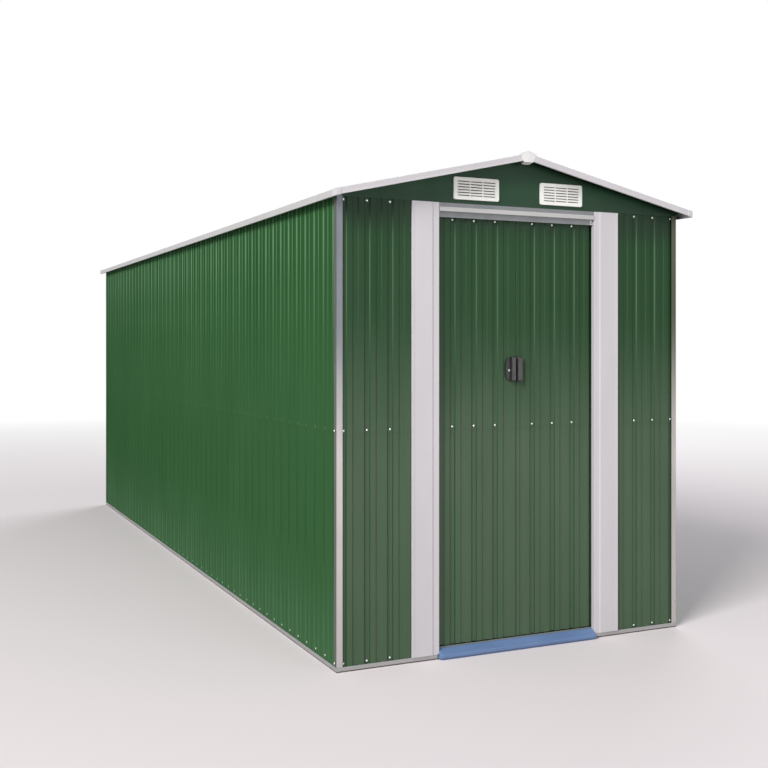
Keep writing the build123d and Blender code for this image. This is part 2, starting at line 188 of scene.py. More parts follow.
def paintedByHeight(tree, color, stops, tint, where=None):  # painted light and shade: a tint mixed in uneven patches, more or less of it by height
    patches = spread(tree, noise(tree, paintedLight["patches"]), paintedLight["uneven"])
    share = combine(tree, "MULTIPLY", byHeight(tree, stops), patches)
    if where is not None:
        share = combine(tree, "MULTIPLY", share, where)
    return mixed(tree, share, color, (*tint, 1.0))


sheetCoat = {"patches": ((1.0, 1.0, 0.35), 2.4, 4.0), "stains": ((1.0, 1.0, 0.2), 9.0, 5.0),
             "waves": ((1.0, 1.0, 0.6), 3.2, 1.0), "waveRelief": (0.25, 0.003),
             "grain": (even, 900.0, 1.0), "relief": (0.05, 0.0003)}
# One green paint in lit and shaded copies, each coloured for the light on its own walls: the side walls' copy
# has no gloss and a brighter base colour that holds a painted reflection; the gable's copy is greyer,
# coloured for the shade under the verge. flats is a painted reflection of the floor on the flat skin, and on
# the gable a painted lighter middle; folds is a painted highlight on the groove folds
frontSheet = {"light": (0.0122, 0.0535, 0.0150), "dark": (0.0108, 0.0483, 0.0136), "rough": (0.38, 0.48),
              "gloss": 0.15, "tint": paintedLight["color"], "along": "X", "steep": (0.50, 0.88),
              "flats": [(0.84, 0.142), (1.61, 0.0)], "folds": [(0.84, 0.03), (1.20, 0.06), (1.70, 0.20)],
              "paintedShade": [(1.86, 0.0), (1.99, 0.50)], "paintedShadeTint": (0.009, 0.018, 0.014)}
gableSheet = {"light": (0.0215, 0.0560, 0.0300), "dark": (0.0190, 0.0480, 0.0265), "rough": (0.42, 0.52),
              "gloss": 0.15, "tint": (0.022, 0.088, 0.038), "flats": [(2.07, 0.0), (2.12, 0.32), (2.20, 0.0)]}
sideSheet = {"light": (0.0288, 0.0978, 0.0303), "dark": (0.0246, 0.0862, 0.0258), "rough": (0.46, 0.58),
             "gloss": 0.0, "tint": paintedLight["fold"], "along": "Y", "steep": (0.36, 0.74),
             "flats": [(0.05, 0.090), (0.20, 0.065), (0.40, 0.045), (1.00, 0.038), (1.90, 0.0)],
             "folds": [(0.12, 0.160), (0.32, 0.085), (0.55, 0.02), (0.80, 0.02), (1.10, 0.05), (1.40, 0.08),
                       (1.65, 0.17), (1.95, 0.32)]}


def greenSheet(name, look):
    coat = sheetCoat
    material, tree, shader = newMaterial(name)
    color = mottled(tree, coat["patches"], look["dark"], look["light"])
    flats = None
    if "folds" in look:
        folds = foldShare(tree, look["along"], look["steep"])
        flats = combine(tree, "SUBTRACT", 1.0, folds)
    # painted reflection of the floor on the flats, and the gable's painted lighter middle
    color = paintedByHeight(tree, color, look["flats"], look["tint"], flats)
    if "folds" in look:
        # painted highlight on the steep groove folds
        color = paintedByHeight(tree, color, look["folds"], paintedLight["fold"], folds)
    # painted shade of the verge, darkening the top of the sheet
    if "paintedShade" in look:
        color = paintedByHeight(tree, color, look["paintedShade"], look["paintedShadeTint"])
    stains = spread(tree, noise(tree, coat["stains"]), look["rough"])
    feed(tree, shader, {"Base Color": color, "Roughness": stains, "Specular IOR Level": look["gloss"]})
    waves = bump(tree, shader, coat["waves"], coat["waveRelief"])
    bump(tree, shader, coat["grain"], coat["relief"], waves)
    return material


zinc = {"spangle": 160.0, "spangleShare": 0.35, "streaks": ((1.0, 1.0, 0.2), 6.0, 4.0),
        "streakShare": (0.1, 0.6), "tones": (0.15, 0.85), "reflectionLevels": (0.84, 1.61),
        "wear": ((1.0, 1.0, 0.3), 14.0, 4.0), "rough": (0.42, 0.56),
        "grain": ((1.0, 1.0, 0.1), 60.0, 3.0), "relief": (0.05, 0.0005)}
steels = {  # light tone, dark tone, painted floor reflection and metal
    "galvanised_steel": ((0.160, 0.172, 0.195), (0.130, 0.142, 0.164), 0.70, 0.35),
    # the track's steel, also on the header's upper band: partly its own colour, partly painted shade of the
    # verge
    "trackSteel": ((0.190, 0.198, 0.205), (0.155, 0.163, 0.170), 0.72, 0.35),
    "railSteel": ((0.270, 0.275, 0.285), (0.225, 0.232, 0.245), 0.30, 0.35),
    "shadedSteel": ((0.058, 0.070, 0.036), (0.044, 0.054, 0.028), 0.70, 0.2),
    "sillSteel": ((0.190, 0.220, 0.205), (0.145, 0.172, 0.160), 0.0, 0.2),
    # painted shade on the posts' side legs, a dark green-grey close to the side sheets
    "shadedSideSteel": ((0.044, 0.056, 0.040), (0.030, 0.040, 0.028), 0.07, 0.0),
    # painted shade along the foot of the base rails, where they meet the ground
    "railShadowSteel": ((0.080, 0.066, 0.054), (0.055, 0.045, 0.037), 0.0, 0.0),
}


def galvanised(name):
    light, dark, floorReflection, metal = steels[name]
    material, tree, shader = newMaterial(name)
    spangle = addNode(tree, "TexVoronoi", {"Vector": placed(tree, even), "Scale": zinc["spangle"]})
    streaks = spread(tree, noise(tree, zinc["streaks"]), zinc["streakShare"])
    tones = {0: spangle.outputs["Color"], 1: zinc["spangleShare"], 2: streaks}
    tone = addNode(tree, "Math", tones, operation="MULTIPLY_ADD").outputs[0]
    color = ramp(tree, tone, list(zip(zinc["tones"], (dark, light))))
    # painted reflection of the pale floor, strongest low down and gone by the upper height
    color = paintedByHeight(tree, color, list(zip(zinc["reflectionLevels"], (floorReflection, 0.0))), paintedLight["steel"])
    wear = spread(tree, noise(tree, zinc["wear"]), zinc["rough"])
    feed(tree, shader, {"Base Color": color, "Roughness": wear, "Metallic": metal})
    bump(tree, shader, zinc["grain"], zinc["relief"])
    return material


trimCoat = {"gloss": 0.4, "metal": 0.0, "patches": ((1.0, 1.0, 0.3), 5.0, 4.0), "rough": (0.38, 0.50),
            "wear": ((1.0, 1.0, 0.25), 16.0, 4.0), "grain": (even, 700.0, 1.0), "relief": (0.05, 0.0004)}
filmCoat = {"gloss": 0.5, "metal": 0.0, "patches": ((0.4, 1.0, 1.0), 12.0, 4.0), "rough": (0.42, 0.58),
            "wear": (even, 25.0, 4.0), "grain": ((0.3, 1.0, 1.0), 45.0, 3.0), "relief": (0.08, 0.0006)}
plasticCoat = {"gloss": 0.5, "metal": 0.0, "patches": (even, 14.0, 4.0), "rough": (0.44, 0.58),
               "wear": (even, 40.0, 3.0), "grain": (even, 1100.0, 2.0), "relief": (0.12, 0.0003)}
satinCoat = {**plasticCoat, "rough": (0.39, 0.53)}
rubberCoat = {**plasticCoat, "rough": (0.54, 0.68)}
dustyCoat = {**plasticCoat, "rough": (0.64, 0.78)}
screwCoat = {"gloss": 0.5, "metal": 0.7, "patches": (even, 300.0, 2.0), "rough": (0.28, 0.42),
             "wear": (even, 500.0, 2.0)}


def coated(name, coat, dark, light):
    material, tree, shader = newMaterial(name)
    color = mottled(tree, coat["patches"], dark, light)
    wear = spread(tree, noise(tree, coat["wear"]), coat["rough"])
    feed(tree, shader, {"Base Color": color, "Roughness": wear, "Metallic": coat["metal"],
                        "Specular IOR Level": coat["gloss"]})
    if "grain" in coat:
        bump(tree, shader, coat["grain"], coat["relief"])
    return material


finishes = {
    "green_sheet": greenSheet("greenSheet", sideSheet),
    "frontGreen": greenSheet("greenFront", frontSheet),
    "gableGreen": greenSheet("greenGable", gableSheet),
    **{name: galvanised(name) for name in steels},
    "pale_trim": coated("paleTrim", trimCoat, (0.565, 0.540, 0.560), (0.605, 0.580, 0.600)),
    # the pale trim in a darker, shaded copy for the eave trims and the header bead: painted shade
    "shadedPaleTrim": coated("shadedPaleTrim", trimCoat, (0.462, 0.456, 0.450), (0.500, 0.494, 0.488)),
    "blue_threshold": coated("blueThreshold", filmCoat, (0.106, 0.178, 0.338), (0.132, 0.215, 0.398)),
    "dark_plastic": coated("darkPlastic", satinCoat, (0.021, 0.019, 0.020), (0.034, 0.030, 0.032)),
    # the handle's plastic made darker on its sunken plate: painted shade of the recess
    "recessShade": coated("recessShadePlastic", plasticCoat, (0.013, 0.014, 0.014), (0.022, 0.024, 0.023)),
    "cream_plastic": coated("creamPlastic", plasticCoat, (0.85, 0.84, 0.79), (0.92, 0.91, 0.87)),
    "white_plastic": coated("whitePlastic", plasticCoat, (0.72, 0.70, 0.69), (0.80, 0.78, 0.77)),
    "screw": coated("screwSteel", screwCoat, (0.62, 0.68, 0.62), (0.76, 0.82, 0.76)),
    "paintedScrew": coated("paintedScrew", plasticCoat, (0.040, 0.100, 0.045), (0.060, 0.130, 0.065)),
    "washer": coated("washerRubber", rubberCoat, (0.012, 0.016, 0.013), (0.022, 0.028, 0.023)),
    "ventShade": coated("ventShade", dustyCoat, (0.050, 0.032, 0.033), (0.080, 0.052, 0.054)),
}


# Mesh helpers: a shape is a list of points, faces and the tone of each face
sharpAngle = 38.0  # edges with a larger angle are shaded sharp


def newShape():
    return {"points": [], "faces": [], "tones": []}


def addFaces(shape, place, points, faces, tone=0):  # one tone, or a list with a tone for each face
    start = len(shape["points"])
    shape["points"].extend([place @ Vector(point) for point in points])
    shape["faces"].extend([tuple(start + index for index in face) for face in faces])
    shape["tones"].extend(tone if isinstance(tone, list) else [tone] * len(faces))


def linked(name, data):
    obj = bpy.data.objects.new(name, data)
    bpy.context.collection.objects.link(obj)
    return obj


def finishPiece(name, shape, body, slot, finish=("",), sharp=sharpAngle):
    mesh = bpy.data.meshes.new(name)
    mesh.from_pydata(shape["points"], [], shape["faces"])
    mesh.polygons.foreach_set("material_index", shape["tones"])
    bm = bmesh.new()
    bm.from_mesh(mesh)
    bmesh.ops.recalc_face_normals(bm, faces=bm.faces)
    for face in bm.faces:
        face.smooth = True
    for edge in bm.edges:
        edge.smooth = len(edge.link_faces) == 2 and edge.calc_face_angle() < math.radians(sharp)
    bm.to_mesh(mesh)
    bm.free()
    for key in finish:
        mesh.materials.append(finishes[key or slot])
    obj = linked(name, mesh)
    evenNormals = obj.modifiers.new("evenNormals", "WEIGHTED_NORMAL")
    evenNormals.keep_sharp = True
    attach(obj, body)
    return obj


slots = {part["node"]: part["material_slot"] for part in frame["record"]["subparts"]}
bodies = {node: body for body, names in frame["record"]["behaviour"]["bodies"].items() for node in names}


def replaceNode(node, name, shape, finish=("",), sharp=sharpAngle):
    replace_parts(finishPiece(name, shape, bodies[node], slots[node], finish, sharp), node)


def rounded(points, radius, steps=4):  # the same line with a curve in place of each inner corner
    mostCut = 0.46  # of the stretch on either side
    corners = [Vector(point) for point in points]
    path = [corners[0]]
    for before, corner, after in zip(corners, corners[1:], corners[2:]):
        back = before - corner
        onward = after - corner
        turn = math.pi - back.angle(onward)
        cut = min(radius * math.tan(turn / 2), back.length * mostCut, onward.length * mostCut)
        first = corner + back.normalized() * cut
        last = corner + onward.normalized() * cut
        for step in range(steps + 1):
            t = step / steps
            path.append(first * (1 - t) ** 2 + corner * (2 * t * (1 - t)) + last * t ** 2)
    path.append(corners[-1])
    return path


def sheetRing(path, gauge):  # the outer line of a bent sheet, and back along its inner line
    normals = [Vector((a.y - b.y, b.x - a.x)).normalized() for a, b in zip(path, path[1:])]
    inner = []
    for index, point in enumerate(path):
        before = normals[max(index - 1, 0)]
        after = normals[min(index, len(normals) - 1)]
        inner.append(point + (before + after) * (gauge / (1 + before.dot(after))))
    return path + inner[::-1]


def ringFaces(rings, count):  # faces between neighbouring rings of as many points
    faces = []
    for low in range(0, (rings - 1) * count, count):
        for index in range(count):
            onward = (index + 1) % count
            faces.append((low + index, low + onward, low + count + onward, low + count + index))
    return faces


def addBand(shape, place, rings, tone=0):  # bent sheet through its cross sections, closed at both ends
    count = len(rings[0])
    faces = ringFaces(len(rings), count)
    for base in (0, (len(rings) - 1) * count):
        for index in range(count // 2 - 1):
            faces.append((base + index, base + index + 1, base + count - 2 - index, base + count - 1 - index))
    addFaces(shape, place, [point for ring in rings for point in ring], faces, tone)


def addUpright(shape, place, path, gauge, bottom, top):  # a plan line raised between two heights
    ring = sheetRing(path, gauge)
    addBand(shape, place, [[(p.x, p.y, level) for p in ring] for level in (bottom, top)])


def addAlong(shape, place, path, gauge, start, end, startMitre=0.0, endMitre=0.0, tone=0):
    # An inward and height section run along a wall, its ends straight or mitred
    ring = sheetRing(path, gauge)
    rings = [[(start + startMitre * p.x, p.x, p.y) for p in ring],
             [(end - endMitre * p.x, p.x, p.y) for p in ring]]
    addBand(shape, place, rings, tone)


def softened(points, faces, width, segments=2, angle=35.0):  # closed form with its sharp edges rounded
    bm = bmesh.new()
    corners = [bm.verts.new(point) for point in points]
    for face in faces:
        bm.faces.new([corners[index] for index in face])
    bmesh.ops.recalc_face_normals(bm, faces=bm.faces)
    edges = [e for e in bm.edges if len(e.link_faces) == 2 and e.calc_face_angle() > math.radians(angle)]
    bmesh.ops.bevel(bm, geom=edges, offset=width, segments=segments, profile=0.5, affect="EDGES",
                    clamp_overlap=True)
    bm.verts.ensure_lookup_table()
    bm.verts.index_update()
    result = [v.co.copy() for v in bm.verts], [tuple(v.index for v in f.verts) for f in bm.faces]
    bm.free()
    return result


def prismFaces(count):
    sides = [(i, (i + 1) % count, count + (i + 1) % count, count + i) for i in range(count)]
    return [tuple(range(count)), tuple(range(2 * count - 1, count - 1, -1))] + sides


def addPrism(shape, place, outline, low, high, width, segments=2, tone=0):
    # An outline in the place's x and z, between two of its y, with rounded edges
    points = [(x, y, z) for y in (low, high) for x, z in outline]
    addFaces(shape, place, *softened(points, prismFaces(len(outline)), width, segments), tone)


def toneWhere(shape, test, tone):
    for index, face in enumerate(shape["faces"]):
        centre = sum((shape["points"][corner] for corner in face), Vector()) / len(face)
        if test(centre):
            shape["tones"][index] = tone


def rectangle(left, low, right, high):
    return [(left, low), (right, low), (right, high), (left, high)]


def roundedRect(width, height, radius, steps=5):
    points = []
    for cornerX, cornerZ, start in ((1, 1, 0), (-1, 1, 90), (-1, -1, 180), (1, -1, 270)):
        for step in range(steps + 1):
            angle = math.radians(start + 90 * step / steps)
            points.append((cornerX * (width / 2 - radius) + radius * math.cos(angle),
                           cornerZ * (height / 2 - radius) + radius * math.sin(angle)))
    return points


# Places: x runs along the wall, y goes inwards and z is up
wallCorners = {"front": (-1, -1, 0.0), "back": (1, 1, 180.0), "left": (-1, 1, 270.0)}
mirrorX = Matrix.Scale(-1.0, 4, (1.0, 0.0, 0.0))
turned = Matrix.Rotation(math.pi, 4, "Z")
fromLeft = {"left": Matrix(), "right": mirrorX}
fromRight = {"right": Matrix(), "left": mirrorX}
fromFront = {"front": Matrix(), "back": turned}
fromFrontLeft = {"front_left": Matrix(), "front_right": mirrorX, "back_right": turned,
                 "back_left": mirrorX @ turned}


def wallPlace(side):
    across, along, turn = wallCorners[side]
    corner = (across * shed["halfWidth"], along * shed["halfDepth"], 0.0)
    return Matrix.Translation(corner) @ Matrix.Rotation(math.radians(turn), 4, "Z")


def frontBox(node):  # a node's lowest and highest corner in the front wall's place
    return [corner + Vector((shed["halfWidth"], shed["halfDepth"], 0.0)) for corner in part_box(node)]


def ridgeLine(x, drop=0.0):
    return shed["ridgeTop"] - abs(x) * shed["slope"] - drop


# Ribbed sheets
def grooveCentres(start, end, deepPlace, pitch):
    margin = ribs["mouth"] / 2 + ribs["gauge"]
    first = math.ceil((start + margin - deepPlace) / pitch)
    last = math.floor((end - margin - deepPlace) / pitch)
    return [(deepPlace + index * pitch, index % 2 == 0) for index in range(first, last + 1)]


def ribbedPath(start, end, skin, deepPlace, pitch, hem=0.0):
    points = [(start, skin)]
    mouth, valley = ribs["mouth"] / 2, ribs["floor"] / 2
    for centre, deep in grooveCentres(start, end, deepPlace, pitch):
        depth = ribs["deep"] if deep else ribs["shallow"]
        points += [(centre - mouth, skin), (centre - valley, skin + depth),
                   (centre + valley, skin + depth), (centre + mouth, skin)]
    points.append((end, skin))
    if hem:
        points = [(start, skin + hem)] + points + [(end, skin + hem)]
    return rounded(points, ribs["bend"], ribs["bendSteps"])


def addTiers(shape, place, start, end, bottom, top, deepPlace, pitch, skin=shed["upperSkin"], hem=0.0):
    lap = shed["lapLevel"]
    lower = ribbedPath(start, end, skin + shed["lapStep"], deepPlace, pitch, hem)
    upper = ribbedPath(start, end, skin, deepPlace, pitch, hem)
    addUpright(shape, place, lower, ribs["gauge"], bottom, lap + shed["lapHalf"])
    addUpright(shape, place, upper, ribs["gauge"], lap - shed["lapHalf"], top)


sideWall = {"firstGroove": 0.0365, "grooves": 94}
frontPanel = {"leftGroove": 0.0360, "rightGroove": 0.0325, "pitch": 0.0553, "end": 0.382}
backWall = {"firstGroove": 0.0360, "grooves": 33}
wallDepth = 2 * shed["halfDepth"]
wallWidth = 2 * shed["halfWidth"]
sidePitch = (wallDepth - 2 * sideWall["firstGroove"]) / (sideWall["grooves"] - 1)
backPitch = (wallWidth - 2 * backWall["firstGroove"]) / (backWall["grooves"] - 1)


def makeWalls():
    low, high, skin = shed["wallLow"], shed["wallTop"], shed["upperSkin"]
    start = shed["sheetBack"] + shed["clear"]
    for side, flip in fromLeft.items():
        shape = newShape()
        addTiers(shape, flip @ wallPlace("left"), skin, wallDepth - skin, low, high,
                 wallDepth - sideWall["firstGroove"], sidePitch)
        replaceNode(side + "_wall", side + "_wall_sheets", shape)
    shape = newShape()
    addTiers(shape, wallPlace("back"), start, wallWidth - start, low, high, backWall["firstGroove"],
             backPitch)
    replaceNode("back_wall", "back_wall_sheets", shape, ("frontGreen",))
    for side, flip in fromLeft.items():
        shape = newShape()
        addTiers(shape, flip @ wallPlace("front"), start, frontPanel["end"], low, high,
                 frontPanel[side + "Groove"], frontPanel["pitch"])
        replaceNode("front_wall_" + side, "front_panel_" + side, shape, ("frontGreen",))
    print("walls made")


doors = {"face": 0.026, "pitch": 0.0558, "deep": {"left": 0.105, "right": 0.0865}, "seamFill": 0.0015,
         "hem": 0.012, "hang": 0.003}


def makeDoors():
    for side in ("left", "right"):
        low, high = frontBox(side + "_door")
        deepPlace = low.x + doors["deep"][side]
        if side == "left":
            high.x += doors["seamFill"]
        else:
            low.x -= doors["seamFill"]
        shape = newShape()
        addTiers(shape, wallPlace("front"), low.x, high.x, low.z - doors["hang"], high.z, deepPlace,
                 doors["pitch"], doors["face"], doors["hem"])
        replaceNode(side + "_door", side + "_door_sheets", shape, ("frontGreen",))
    print("doors made")


# Posts and rails
posts = {"frontLeg": 0.029, "sideLeg": 0.026, "gauge": 0.0015, "bend": 0.0032, "bendSteps": 5,
         "sideShare": 0.12}
baseRail = {"lip": 0.023, "leg": 0.045, "gauge": 0.0015, "bend": 0.0030, "frontLength": 0.4947,
            "stepTop": 0.0062, "stepLow": 0.0050, "stepBack": 0.0012}


def makePosts():
    plan = [(posts["frontLeg"], 0.0), (0.0, 0.0), (0.0, posts["sideLeg"])]
    path = rounded(plan, posts["bend"], posts["bendSteps"])[::-1]
    sideEdge = shed["halfDepth"] - posts["bend"] * posts["sideShare"]
    for name, flip in fromFrontLeft.items():
        shape = newShape()
        addUpright(shape, flip @ wallPlace("front"), path, posts["gauge"], shed["postLow"], shed["postTop"])
        # the side leg's faces take the painted shade of the second finish
        toneWhere(shape, lambda centre: abs(centre.y) < sideEdge, 1)
        front = "shadedSteel" if name == "front_right" else ""
        replaceNode("corner_post_" + name, "post_" + name, shape, (front, "shadedSideSteel"))
    print("posts made")


def makeBaseRails():
    b = baseRail
    depth = shed["sheetBack"] + shed["clear"] + b["gauge"]
    stepBack = b["stepBack"]
    section = [(0.0, b["lip"]), (0.0, b["stepTop"]), (stepBack, b["stepLow"]), (stepBack, 0.0), (depth, 0.0),
               (depth, b["leg"])]
    path = rounded(section, b["bend"])
    joint = shed["clear"] / 2
    runs = {
        "left": ("left", Matrix(), wallDepth - joint, 1.0),
        "right": ("left", mirrorX, wallDepth - joint, 1.0),
        "back": ("back", Matrix(), wallWidth - joint, 1.0),
        "front_left": ("front", Matrix(), b["frontLength"], 0.0),
        "front_right": ("front", mirrorX, b["frontLength"], 0.0),
    }
    for name, (side, flip, end, endMitre) in runs.items():
        shape = newShape()
        addAlong(shape, flip @ wallPlace(side), path, b["gauge"], joint, end, 1.0, endMitre)
        # the faces below the step take the painted shade of the second finish
        toneWhere(shape, lambda centre: centre.z < b["stepLow"], 1)
        replaceNode("base_rail_" + name, "rail_" + name, shape, ("railSteel", "railShadowSteel"))
    print("base rails made")


# Doorway
jamb = {"outer": 0.359, "inner": 0.496, "step": 0.469, "proud": 0.006, "strip": 0.002, "return": 0.0205,
        "tuck": 0.0015, "bead": 0.0095, "beadStep": 0.0008, "gauge": 0.001, "bend": 0.0014, "ease": 0.009}
header = {"beadTop": 2.029, "beadLow": 2.007, "beadProud": 0.005, "slope": 0.0035, "gauge": 0.001,
          "bend": 0.0024}
track = {"flangeDrop": 0.057, "edge": 0.044, "bend": 0.003, "gauge": 0.0015}
clip = {"width": 0.017, "low": 1.984, "high": 2.004, "gauge": 0.0015, "round": 0.0004, "hole": 0.0045,
        "holeProud": 0.0004, "holeRound": 0.0002}


def makeJambs():
    j = jamb
    low, high = shed["postLow"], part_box("left_jamb")[1].z
    face = -j["proud"] + j["beadStep"]
    beadEnd = j["outer"] + j["bead"]
    plan = [(j["outer"], j["tuck"]), (j["outer"], -j["proud"]), (beadEnd, -j["proud"]),
            (beadEnd + j["ease"] / 2, face), (j["step"] - j["ease"], face),
            (j["step"], -j["strip"]), (j["inner"], -j["strip"])]
    path = rounded(plan + [(j["inner"], j["return"])], j["bend"])
    notch = rounded(plan + [(j["inner"], shed["sheetBack"])], j["bend"])
    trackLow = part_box("door_track")[0].z
    for side, flip in fromLeft.items():
        shape = newShape()
        place = flip @ wallPlace("front")
        addUpright(shape, place, path, j["gauge"], low, trackLow)
        addUpright(shape, place, notch, j["gauge"], trackLow, high)
        replaceNode(side + "_jamb", side + "_jamb_trim", shape)
    print("jambs made")


def addClip(shape, place, end, back):  # small bracket at the right end of the track, its hole a dark square of painted shade
    start, low, high = end - clip["width"], clip["low"], clip["high"]
    front = back - clip["gauge"]
    addPrism(shape, place, rectangle(start, low, end, high), front, back, clip["round"], tone=2)
    half = clip["hole"] / 2
    x, z = (start + end) / 2, (low + high) / 2 - half
    # painted shade of the hole, in the washer's dark finish
    addPrism(shape, place, rectangle(x - half, z - half, x + half, z + half), front - clip["holeProud"],
             front + clip["holeRound"], clip["holeRound"], tone=3)


def makeHeader():
    h = header
    low, high = frontBox("door_header")
    back = shed["sheetBack"] - shed["clear"]
    place = wallPlace("front")
    shape = newShape()
    bead = [(back, h["beadTop"]), (0.0, h["beadTop"]), (-h["beadProud"], h["beadTop"] - h["slope"]),
            (-h["beadProud"], h["beadLow"]), (back, h["beadLow"])]
    addAlong(shape, place, rounded(bead, h["bend"]), h["gauge"], low.x, high.x)
    upper = [(back, high.z), (0.0, high.z), (0.0, h["beadTop"] + shed["clear"])]
    # the upper band takes the track's darker steel, partly painted shade
    addAlong(shape, place, rounded(upper, h["bend"] / 2), h["gauge"], low.x, high.x, tone=1)
    low, high = frontBox("door_track")
    addClip(shape, place, wallWidth - jamb["inner"] - shed["clear"], low.y - shed["clear"])
    replaceNode("door_header", "header_trim", shape, ("shadedPaleTrim", "trackSteel", "", "washer"))
    flange = high.z - track["flangeDrop"]
    section = [(track["edge"], flange), (high.y, flange), (high.y, high.z), (low.y, high.z), (low.y, low.z)]
    shape = newShape()
    addAlong(shape, place, rounded(section, track["bend"]), track["gauge"], low.x, high.x)
    replaceNode("door_track", "upper_track", shape, ("trackSteel",))
    print("header and track made")


threshold = {"high": 0.0465, "nose": 0.027, "noseHigh": 0.024, "noseLow": 0.010, "foot": 0.018,
             "gauge": 0.0015, "endRound": 0.016, "endSteps": 8, "past": 0.004, "bend": 0.004}


def makeThreshold():
    low, high = frontBox("threshold")
    t = threshold
    section = [(high.y, 0.0), (high.y, t["high"]), (-t["nose"], t["noseHigh"]), (-t["nose"], t["noseLow"]),
               (-t["foot"], 0.0)]
    ring = sheetRing(rounded(section, t["bend"]), t["gauge"])
    stations = []
    for step in range(t["endSteps"] + 1):  # the nose is rounded in plan at both ends
        angle = math.pi / 2 * step / t["endSteps"]
        stations.append((low.x - t["past"] + t["endRound"] * (1 - math.cos(angle)), math.sin(angle)))
    stations += [(low.x + high.x - x, share) for x, share in reversed(stations)]
    front = jamb["proud"] + shed["clear"]
    rings = []
    for x, share in stations:
        inside = min(max(x, low.x), high.x)
        rings.append([(x, -front + (p.x + front) * share, p.y) if p.x < -front else (inside, p.x, p.y)
                      for p in ring])
    shape = newShape()
    addBand(shape, wallPlace("front"), rings)
    replaceNode("threshold", "threshold_plate", shape)
    print("threshold made")


# Roof, its trims and caps
roof = {"grooves": 98, "pitch": 0.0569, "sheets": 7, "ridgeGap": 0.008, "gauge": 0.001}


def makeRoof():
    pitchAngle = math.atan(shed["slope"])
    cos, sin = math.cos(pitchAngle), math.sin(pitchAngle)
    eave = shed["eaveReach"] - roof["gauge"] - shed["clear"]
    skinDrop = roof["gauge"] / cos + shed["clear"]
    length = (eave - roof["ridgeGap"]) / cos
    first = shed["vergeReach"] - (roof["grooves"] - 1) * roof["pitch"] / 2
    perSheet = roof["grooves"] // roof["sheets"]
    place = Matrix(((0, -sin, -cos, eave), (1, 0, 0, -shed["vergeReach"]),
                    (0, -cos, sin, ridgeLine(eave, skinDrop)), (0, 0, 0, 1)))
    margin = roof["gauge"] + shed["clear"]
    for side, flip in fromRight.items():
        shape = newShape()
        for index in range(roof["sheets"]):  # each sheet laps over the next by one groove
            begin = max(margin, first + (index * perSheet - 0.5) * roof["pitch"])
            end = min(2 * shed["vergeReach"] - margin, first + ((index + 1) * perSheet + 0.5) * roof["pitch"])
            skin = shed["lapStep"] if index % 2 else 0.0
            path = ribbedPath(begin, end, skin, first, roof["pitch"])
            addUpright(shape, flip @ place, path, roof["gauge"], 0.0, length)
        replaceNode("roof_" + side, "roof_" + side + "_sheets", shape)
    print("roof made")


trims = {"gauge": 0.001, "height": 0.030, "vergeFace": 0.0275, "flange": 0.025, "lip": 0.008, "bend": 0.0016,
         "crease": 0.019, "lean": 0.0014, "capHalf": 0.090, "capBend": 0.012}


def makeTrims():
    t = trims
    reach, verge, gauge = shed["eaveReach"], shed["vergeReach"], t["gauge"]
    inner = reach - t["flange"]
    foot = ridgeLine(reach, t["height"])
    section = [(reach - t["lip"], foot), (reach, foot), (reach, ridgeLine(reach)),
               (inner, ridgeLine(inner))]
    ring = sheetRing(rounded(section, t["bend"]), gauge)
    end = verge - t["flange"] - shed["clear"]
    for side, flip in fromRight.items():
        shape = newShape()
        addBand(shape, flip, [[(p.x, y, p.y) for p in ring] for y in (-end, end)])
        replaceNode(side + "_eave_trim", side + "_eave_trim_strip", shape, ("shadedPaleTrim",))
    foot = -t["vergeFace"]
    section = [(t["lip"], foot), (0.0, foot), (t["lean"], -t["crease"]), (0.0, 0.0), (t["flange"], 0.0)]
    ring = sheetRing(rounded(section, t["bend"]), gauge)
    for side, turn in fromFront.items():
        shape = newShape()
        for flip in (Matrix(), mirrorX):
            addBand(shape, turn @ flip, [[(x, p.x - verge, ridgeLine(x) + p.y) for p in ring]
                                         for x in (shed["clear"], reach)])
        replaceNode(side + "_verge_trim", side + "_verge_trim_strip", shape)
    section = [(x, ridgeLine(x, -shed["clear"])) for x in (t["capHalf"], 0.0, -t["capHalf"])]
    ring = sheetRing(rounded(section, t["capBend"]), -gauge)
    shape = newShape()
    addBand(shape, Matrix(), [[(p.x, y, p.y) for p in ring] for y in (-verge, verge)])
    replaceNode("ridge_cap", "ridge_cap_strip", shape)
    print("trims made")


cornerCap = {"length": 0.045, "face": 0.026, "wall": 0.0017, "drop": 0.031, "round": 0.0040, "roundSteps": 3}


def makeCornerCaps():
    c = cornerCap
    low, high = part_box("eave_corner_caps")
    near, far = shed["eaveReach"] - c["face"], high.x
    over = -shed["clear"] - c["wall"]
    outline = [(near, ridgeLine(near, c["drop"])), (far, ridgeLine(far, c["drop"])),
               (far, ridgeLine(far, over)), (near, ridgeLine(near, over))]
    shape = newShape()
    for flip in fromFrontLeft.values():
        addPrism(shape, flip, outline, low.y, c["length"] - shed["vergeReach"], c["round"], c["roundSteps"])
    replaceNode("eave_corner_caps", "corner_caps", shape, ("pale_trim",))
    print("corner caps made")


endCap = {"thickness": 0.003, "inset": 0.0001, "hood": 0.050, "rise": 0.014, "height": 0.061,
          "shoulder": 0.044, "shoulderDrop": 0.014, "cheek": 0.037, "cheekDrop": 0.034, "chin": 0.024,
          "chinGap": 0.003, "chinTaper": 0.8, "chinLift": 0.002, "lean": 0.028, "fold": 0.0027,
          "flare": 0.053, "flareDrop": 0.018, "seat": 0.002, "hoodLap": 0.001, "round": 0.0014,
          "softAngle": 12.0, "creaseAngle": 30.0}


